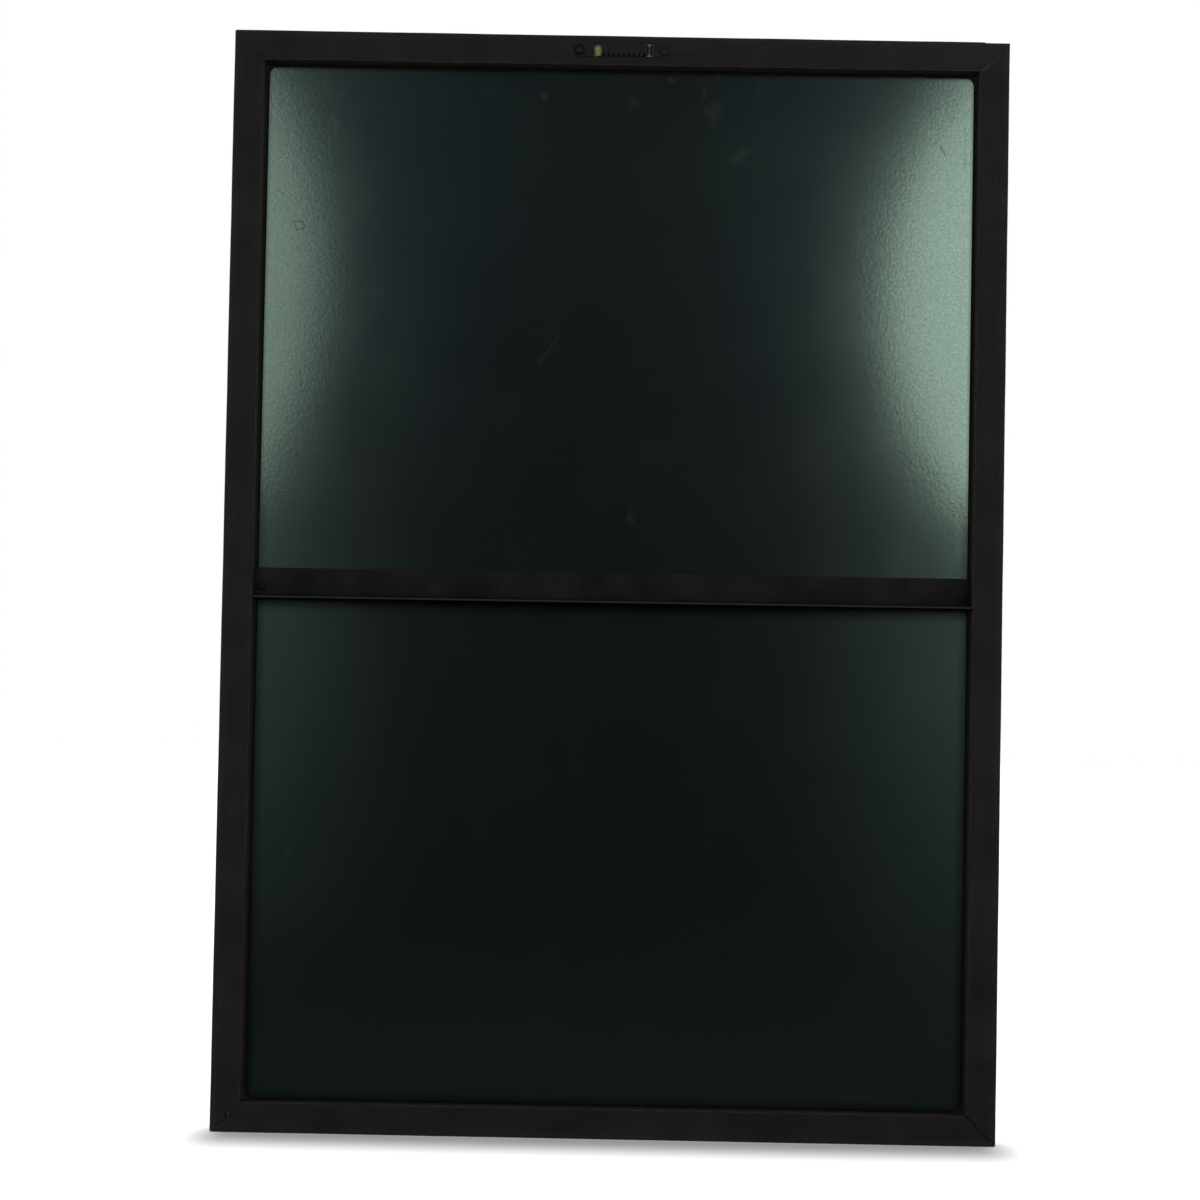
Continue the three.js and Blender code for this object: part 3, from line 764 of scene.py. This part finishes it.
def brace_angle(settings, material):
    """The brace: the outline of a bent sheet carried along X, rising by tilt * x.

    Kept at its points: edge (one in the middle of each rounded edge), rim (the edge nearest the
    wall, lighter as a painted highlight) and corner (inside the bend, darker as painted shade)."""
    back, low, high = BRACE_HIGH.y, BRACE_LOW.z, BRACE_HIGH.z
    t = settings.thickness
    corners = [
        (back, high),
        (back - t, high),
        (back - t, low + t),
        (BRACE_LOW.y, low + t),
        (BRACE_LOW.y, low),
        (back, low),
    ]
    radii = [0.3 * MM, 0.3 * MM, 0.9 * MM, 0.35 * MM, 0.35 * MM, 2 * MM]
    steps = [1 * MM, 2 * MM, 2 * MM, 1 * MM, 2 * MM, 2 * MM]
    outline, arc = rounded_outline(corners, radii, steps)
    x = np.linspace(BRACE_LOW.x, BRACE_HIGH.x, 140)[:, None]
    y = outline[None, :, 0] + np.zeros_like(x)
    z = outline[None, :, 1] + settings.tilt * x
    rim = outline[:, 0] < BRACE_LOW.y + 0.4 * MM
    corner = np.hypot(outline[:, 0] - (back - t), outline[:, 1] - (low + t)) < 1 * MM
    fields = {"edge": arc, "rim": rim, "corner": corner}
    points = np.stack([np.broadcast_to(x, y.shape), y, z], -1)
    work = piece("brace_angle", points, bar(*y.shape), material, ["cross_brace"], fields)
    sharpen(work, 40)


def turned_piece(name, node, profile, material, cross=None):
    """A piece turned about Y through a node's middle.

    The profile gives radii and depths from the crown's centre to the tip. A cross of two bars, given
    by its reach, half-width, depth and turn, sinks the crown by depth * s, where s falls from 1 to 0
    across the wall of a bar."""
    low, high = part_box(node)
    turn = np.linspace(0, 2 * np.pi, 96, endpoint=False)[None]
    radius, depth = profile[:, 0:1], profile[:, 1:2]
    x, z = radius * np.cos(turn), radius * np.sin(turn)
    y = depth + np.zeros_like(x)
    if cross:
        reach, half, sink, tilt = cross
        a = x * math.cos(tilt) + z * math.sin(tilt)
        b = z * math.cos(tilt) - x * math.sin(tilt)
        wall = 0.35 * half
        bars = [
            smooth_step(-np.abs(p), -half - wall, -half + wall)
            * smooth_step(-np.abs(q), -reach, -0.7 * reach)
            for p, q in ((a, b), (b, a))
        ]
        y = y + sink * np.maximum(*bars) * (depth < depth.min() + 1.2 * MM)
    points = np.stack([x + (low.x + high.x) / 2, y, z + (low.z + high.z) / 2], -1)
    work = piece(name, points, quads(*x.shape, True), material, [node], weld=True)
    sharpen(work, 50)


def headed(crown_y, seat, tip, head, rows, under, shank):
    """The profile of a round-headed nail or screw, from the crown's centre to the tip.

    With s the part of the head's radius, its depth is seat - height * (1 - s^3.2)^(1/2). under is
    the part of the radius at which the flat under the head starts."""
    s = np.linspace(0, 1, rows)
    crown = np.stack([head * s, seat - (seat - crown_y) * np.sqrt(np.clip(1 - s**3.2, 0, 1))], 1)
    rest = [(head * under, seat), (shank, seat), (shank, tip - 2 * MM), (0, tip)]
    return np.concatenate([crown, rest])


def brace_screw(side, thickness, material):
    """A pan-head screw with a pressed cross, through the brace and the panel into the frame's lip."""
    node = f"brace_screw_{side}"
    low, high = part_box(node)
    seat = BRACE_HIGH.y - thickness - SEAT
    profile = headed(low.y, seat, high.y, (high.x - low.x) / 2, 26, 0.97, 1.25 * MM)
    cross = (1.7 * MM, 0.42 * MM, 0.9 * MM, {"left": 0.5, "right": 1.1}[side])
    turned_piece(f"pan_screw_{side}", node, profile, material, cross)


def hanger_nail(side, material):
    """A round-headed nail through the hanger's tab."""
    node = f"hanger_nail_{side}"
    low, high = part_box(node)
    profile = headed(low.y, low.y + 1 * MM, high.y, (high.x - low.x) / 2, 16, 0.96, 0.8 * MM)
    turned_piece(f"round_nail_{side}", node, profile, material)


def hanger_strip(settings, material):
    """The hanger: a bent strip with a row of teeth along its lower edge.

    x runs along the strip, and its raised part sits press_offset to the right. Its depth is a ramp
    between each tab and the raised part, rounded by a moving average. Its tabs end in quarter
    circles, and z = lower + v * (upper - lower). Kept at its points: rub_and_glint, where the lacquer
    has worn through, laid out in the shape of the glints: a broad patch on the left bend and a narrow
    line, wider at its ends, on the right one."""
    half = (HANGER_HIGH.x - HANGER_LOW.x) / 2
    tall = (HANGER_HIGH.z - HANGER_LOW.z) / 2
    tab, slope, corner = 12.6 * MM, 3.9 * MM, 3 * MM
    offset = settings.press_offset
    foot, shoulder = half - tab, half - tab - slope
    pitch, tip, root, tooth = 3.25 * MM, 0.9 * MM, 0.5 * MM, 2.5 * MM
    count = int((2 * shoulder + tip) / pitch)
    centres = offset + (np.arange(count) - (count - 1) / 2) * pitch
    flanks = np.array([-(pitch - tip) / 2, -root / 2, root / 2, (pitch - tip) / 2])
    teeth_x = (centres[:, None] + flanks).ravel()
    teeth_z = np.tile([-tall, -tall + tooth, -tall + tooth, -tall], count)
    arcs = half - corner + corner * np.sin(np.linspace(0, np.pi / 2, 12))
    bends = np.linspace(shoulder - 1.2 * MM, foot + 1.2 * MM, 28)
    x = np.concatenate([teeth_x, arcs, -arcs, offset + bends, offset - bends, [0]])
    x = np.unique(np.round(x, 7))
    past = np.clip(np.abs(x) - (half - corner), 0, corner)
    drop = corner - np.sqrt(np.clip(corner**2 - past**2, 0, None))
    lower = np.interp(x, teeth_x, teeth_z, left=-tall, right=-tall) + drop
    upper = tall - drop
    sample = np.linspace(-half - 5 * MM, half + 5 * MM, 4001)
    rise = np.clip((foot - np.abs(sample - offset)) / slope, 0, 1)
    window = int(1.6 * MM / (sample[1] - sample[0]))
    rise = np.convolve(rise, np.ones(window) / window, mode="same")
    tab_y = HANGER_HIGH.y - settings.thickness
    depth = tab_y + (HANGER_LOW.y - tab_y) * np.interp(x, sample, rise)
    v = np.linspace(0, 1, 9)[:, None]
    z = lower + v * (upper - lower) + (HANGER_LOW.z + tall)
    points = np.stack([np.broadcast_to(x, z.shape), np.broadcast_to(depth, z.shape), z], -1)

    # Worn plating drawn in the shape of the glints: a broad patch on the left bend and a narrow line on
    # the right one, partly wear and partly painted glint
    left, right = (x - offset - sign * (foot + shoulder) / 2 for sign in (-1, 1))
    ends = np.abs(2 * v - 1) ** 4
    patch = np.exp(-(((left + 0.5 * MM) / (0.55 * slope)) ** 2)) * np.exp(-(((v - 0.38) / 0.5) ** 4))
    light_band = np.exp(-(((right - 0.2 * MM) / ((0.12 + 0.3 * ends) * slope)) ** 2)) * (0.42 + 0.58 * ends)
    work = piece(
        "toothed_strip",
        points,
        quads(*z.shape, False),
        material,
        ["sawtooth_hanger"],
        {"rub_and_glint": np.maximum(patch, light_band)},
        weld=True,
    )
    thicken(work, settings.thickness, 0.12 * MM, 40)


# Stage

CAMERA_PLACE = (0.0083, -2.0737, 0.2545)
# In degrees: turn about Z, tilt above the level, and roll
CAMERA_TURN, CAMERA_TILT, CAMERA_ROLL = 0.442, 2.453, 1.07
# In millimetres
CAMERA_LENS, CAMERA_SENSOR = 96.87, 36
# Round soft lamps either side of the camera: name, place, radius and radiance
LAMPS = (
    ("left_lamp", (-0.99, -2.3, 0.877), 0.566, 3.0),
    ("right_lamp", (0.825, -2.3, 0.869), 0.462, 5.35),
)
# The floor's own glow, and the part of its colour that stays where the painted shadow is darkest
FLOOR_GLOW, SHADOW_SHARE = 0.7, 0.81


def make_camera():
    """The camera at the photograph's place: turned about Z, tilted up and rolled."""
    data = bpy.data.cameras.new("camera")
    data.lens, data.sensor_width = CAMERA_LENS, CAMERA_SENSOR
    camera = bpy.data.objects.new("camera", data)
    bpy.context.scene.collection.objects.link(camera)
    turn = Matrix.Rotation(math.radians(CAMERA_TURN), 4, "Z")
    tilt = Matrix.Rotation(math.radians(90 + CAMERA_TILT), 4, "X")
    roll = Matrix.Rotation(math.radians(CAMERA_ROLL), 4, "Z")
    camera.matrix_world = Matrix.Translation(CAMERA_PLACE) @ turn @ tilt @ roll
    bpy.context.scene.camera = camera


def make_lamps():
    """Area lamps that face the board squarely. A lamp's power is 4 times its radiance times its area."""
    for name, place, radius, radiance in LAMPS:
        data = bpy.data.lights.new(name, "AREA")
        data.shape, data.size = "DISK", 2 * radius
        data.energy = 4 * radiance * math.pi * radius**2
        lamp = bpy.data.objects.new(name, data)
        lamp.location = place
        lamp.rotation_euler = (math.radians(90), 0, 0)
        lamp.visible_camera = False
        bpy.context.scene.collection.objects.link(lamp)


def seen(tree):
    """One for rays that show the background: from the camera, off gloss and through glass."""
    shown = 0
    for kind in ("Camera", "Glossy", "Transmission"):
        ray = add(tree, "LightPath", out=f"Is {kind} Ray")
        shown = add(tree, "Math.MAXIMUM", [shown, ray])
    return shown


def make_world(fill):
    """White where it is seen, and an even soft fill where it lights."""
    world = bpy.data.worlds.new("white_room")
    world.use_nodes = True
    tree = world.node_tree
    tree.nodes.clear()
    light, white = (
        add(tree, "Background", {"Color": rgba(WHITE), "Strength": strength}) for strength in (fill, 1)
    )
    shown = add(tree, "MixShader", [seen(tree), light, white])
    add(tree, "OutputWorld", {"Surface": shown}, out=None)
    bpy.context.scene.world = world


def make_sheet(name, corners, faces, material):
    """A sheet of the stage."""
    mesh = bpy.data.meshes.new(name)
    mesh.from_pydata(corners, [], faces)
    mesh.materials.append(material)
    sheet = bpy.data.objects.new(name, mesh)
    bpy.context.scene.collection.objects.link(sheet)
    return sheet


def make_floor(paint):
    """A white floor with a painted soft shadow at the board's foot, which dims its colour and its glow.

    Going away from the board on the wall side it is darkest for 8 mm and gone at 113 mm. It fades
    over 53 mm under the board and over 42 mm at the ends."""
    material, tree, place = new_material("white_floor")
    x, y, _ = add(tree, "SeparateXYZ", [place], out=None)
    from_middle = add(tree, "Math.ABSOLUTE", [x])
    end = BOARD_WIDTH / 2
    shadow = 1
    for fade in (
        [y, BACK_Y - 113 * MM, BACK_Y - 8 * MM],
        [y, BACK_Y - 8 * MM, BACK_Y + 45 * MM, 1, 0],
        [from_middle, end - 14 * MM, end + 28 * MM, 1, 0],
    ):
        part = add(tree, "MapRange", fade, **SMOOTH)
        shadow = add(tree, "Math.MULTIPLY", [shadow, part])
    clear = add(tree, "Math.SUBTRACT", [1, shadow])
    dim = rgba(SHADOW_SHARE * v for v in paint)
    glow = add(tree, "Math.MULTIPLY", [clear, FLOOR_GLOW])
    surface = {
        "Base Color": add(tree, "Mix", {FACTOR: clear, FIRST: dim, SECOND: rgba(paint)}, **COLOURS),
        "Roughness": 0.9,
        "IOR": 1.3,
        "Emission Color": rgba(WHITE),
        "Emission Strength": add(tree, "Math.MULTIPLY", [glow, seen(tree)]),
    }
    add(tree, "OutputMaterial", {"Surface": add(tree, "BsdfPrincipled", surface)}, out=None)
    far = 40
    corners = [(-far, -far, 0), (far, -far, 0), (far, far, 0), (-far, far, 0)]
    make_sheet("floor", corners, [(0, 1, 2, 3)], material)


def make_dark_front():
    """A dark cloth behind the camera and on the floor before it, which only reflections show.

    It is no lamp, but glows with painted light of its own in place of the room's light on it: a pale
    glow on both sides, strongest 0.4 m above the floor, a bluer one nearer the middle and higher up,
    and a faint one on the floor and at the top."""
    material, tree, place = new_material("black_cloth_with_painted_glow")
    x, y, z = add(tree, "SeparateXYZ", [place], out=None)
    side = add(tree, "Math.ADD", [x, 0.03])
    side = add(tree, "Math.ABSOLUTE", [side])
    pale = add(tree, "MapRange", [side, 0.25, 0.75, 0, 0.28], **SMOOTH)
    for heights in ((0, 0.4, 1, 2.6), (0.45, 0.8, 1, 0.2)):
        part = add(tree, "MapRange", [z, *heights], **SMOOTH)
        pale = add(tree, "Math.MULTIPLY", [pale, part])
    for faint in ([y, -2.4, -0.1, 0.01, 0.09], [z, 0.85, 1.15, 0, 0.05]):
        part = add(tree, "MapRange", faint, **SMOOTH)
        pale = add(tree, "Math.ADD", [pale, part])
    blue = add(tree, "MapRange", [side, 0.1, 0.4, 0, 0.15], **SMOOTH)
    high_up = add(tree, "MapRange", [z, 0.58, 0.95], **SMOOTH)
    blue = add(tree, "Math.MULTIPLY", [blue, high_up])
    pale_glow, blue_glow = (
        add(tree, "VectorMath.SCALE", {0: linear(tint), "Scale": glow})
        for tint, glow in (("#dcf6ff", pale), ("#7cc0ff", blue))
    )
    surface = {
        "Base Color": rgba(BLACK),
        "Roughness": 1,
        "Specular IOR Level": 0,
        "Emission Color": add(tree, "VectorMath.ADD", [pale_glow, blue_glow]),
        "Emission Strength": 1,
    }
    add(tree, "OutputMaterial", {"Surface": add(tree, "BsdfPrincipled", surface)}, out=None)
    left, right, near_y, far_y, low, high = -4, 8, -0.03, -2.9, MM, 8
    corners = [(left, near_y, low), (right, near_y, low), (right, far_y, low), (left, far_y, low)]
    corners += [(right, far_y, high), (left, far_y, high)]
    cloth = make_sheet("dark_front", corners, [(0, 1, 2, 3), (3, 2, 4, 5)], material)
    for kind in ("camera", "diffuse", "shadow", "transmission", "volume_scatter"):
        setattr(cloth, "visible_" + kind, False)


# Operators


class CHALKBOARD_OT_frame(Operator):
    """Build the four painted sides of the frame"""

    bl_idname = "chalkboard.frame"
    bl_label = "Frame"

    def execute(self, context):
        settings = context.scene.chalkboard.frame
        material = painted_wood(settings)
        for index in range(len(SIDES)):
            frame_side(settings, index, material)
        return {"FINISHED"}


class CHALKBOARD_OT_panel(Operator):
    """Build the green panel"""

    bl_idname = "chalkboard.panel"
    bl_label = "Panel"

    def execute(self, context):
        settings = context.scene.chalkboard.panel
        panel_sheet(settings, panel_enamel(settings))
        return {"FINISHED"}


class CHALKBOARD_OT_brace(Operator):
    """Build the cross brace and its screws"""

    bl_idname = "chalkboard.brace"
    bl_label = "Brace and screws"

    def execute(self, context):
        settings = context.scene.chalkboard.brace
        enamel = black_enamel(settings)
        brace_angle(settings, enamel)
        for side in ("left", "right"):
            brace_screw(side, settings.thickness, enamel)
        return {"FINISHED"}


class CHALKBOARD_OT_hanger(Operator):
    """Build the sawtooth hanger and its nails"""

    bl_idname = "chalkboard.hanger"
    bl_label = "Hanger and nails"

    def execute(self, context):
        settings = context.scene.chalkboard.hanger
        lacquer = worn_lacquer(settings)
        hanger_strip(settings, lacquer)
        for side in ("left", "right"):
            hanger_nail(side, lacquer)
        return {"FINISHED"}


class CHALKBOARD_OT_hidden(Operator):
    """Give the corner nails and the mounting tape their finishes"""

    bl_idname = "chalkboard.hidden"
    bl_label = "Corner nails and tape"

    def execute(self, context):
        finishes = {"corner_nail": rolled_steel(context.scene.chalkboard.frame.paint), "tape": foam_tape()}
        for kind, material in finishes.items():
            nodes = [node for name, node in frame["nodes"].items() if name.startswith(kind)]
            if not nodes:
                raise RuntimeError(f"The packed model has no {kind}")
            for node in nodes:
                node.material_slots[0].material = material
        return {"FINISHED"}


class CHALKBOARD_OT_stage(Operator):
    """Build the floor, lamps, world and camera"""

    bl_idname = "chalkboard.stage"
    bl_label = "Stage"

    def execute(self, context):
        settings = context.scene.chalkboard.stage
        make_camera()
        make_lamps()
        make_world(settings.fill)
        make_floor(settings.floor)
        make_dark_front()
        context.scene.view_settings.view_transform = "Standard"
        return {"FINISHED"}


OPERATORS = (
    CHALKBOARD_OT_frame,
    CHALKBOARD_OT_panel,
    CHALKBOARD_OT_brace,
    CHALKBOARD_OT_hanger,
    CHALKBOARD_OT_hidden,
    CHALKBOARD_OT_stage,
)


class CHALKBOARD_PT_sidebar(Panel):
    """The sizes, colours and builders of the chalkboard"""

    bl_idname = "CHALKBOARD_PT_sidebar"
    bl_label = "Chalkboard"
    bl_space_type = "VIEW_3D"
    bl_region_type = "UI"
    bl_category = "Chalkboard"

    def draw(self, context):
        settings = context.scene.chalkboard
        for group in ("frame", "panel", "brace", "hanger", "stage"):
            box = self.layout.box()
            box.label(text=group.title())
            part = getattr(settings, group)
            for name in part.bl_rna.properties.keys():
                if name not in ("rna_type", "name"):
                    box.prop(part, name)
        for operator in OPERATORS:
            self.layout.operator(operator.bl_idname)


CLASSES = (
    FrameSettings,
    PanelSettings,
    BraceSettings,
    HangerSettings,
    StageSettings,
    ChalkboardSettings,
    *OPERATORS,
    CHALKBOARD_PT_sidebar,
)


def register():
    for each in CLASSES:
        bpy.utils.register_class(each)
    bpy.types.Scene.chalkboard = PointerProperty(type=ChalkboardSettings)


def unregister():
    del bpy.types.Scene.chalkboard
    for each in reversed(CLASSES):
        bpy.utils.unregister_class(each)


def main():
    register()
    for operator in OPERATORS:
        group, name = operator.bl_idname.split(".")
        getattr(getattr(bpy.ops, group), name)()


if __name__ == "__main__":
    main()
